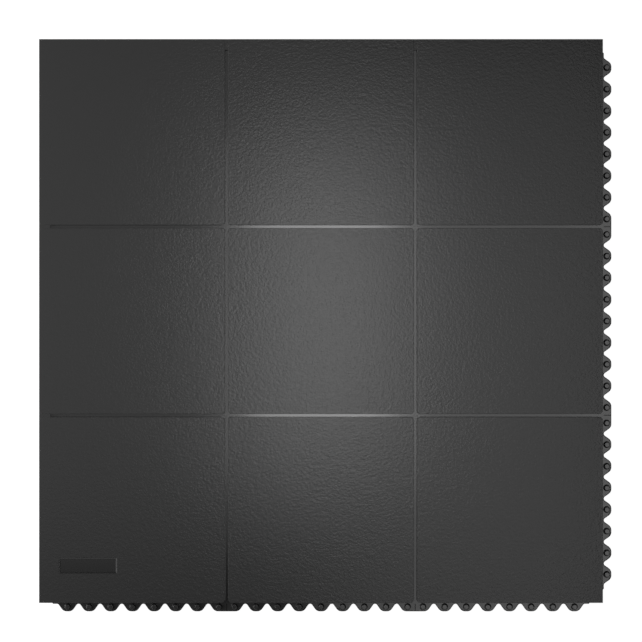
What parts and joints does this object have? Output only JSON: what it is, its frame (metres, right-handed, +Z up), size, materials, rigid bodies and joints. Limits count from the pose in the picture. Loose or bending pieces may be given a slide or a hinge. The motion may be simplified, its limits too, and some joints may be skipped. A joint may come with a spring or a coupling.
{
  "type": "modular rubber floor mat",
  "caption": "Square moulded rubber floor tile of square pads between drainage channels, with studded coupling tabs on two edges and matching sockets under the other two.",
  "frame": {"origin": "on the floor under the middle of the nine pads, in the plane of the underside", "axes": "+Z up, out of the walking face; +X towards one edge with tabs, and -Y towards the other; the sockets are under the -X and +Y edges"},
  "size_m": [0.925, 0.925, 0.016],
  "materials": {
    "rubber": "black moulded rubber: finely grained matt pads, with smoother channels, tabs and studs"
  },
  "bodies": {
    "root": {"floor_mat": "rubber"}
  },
  "joints": []
}
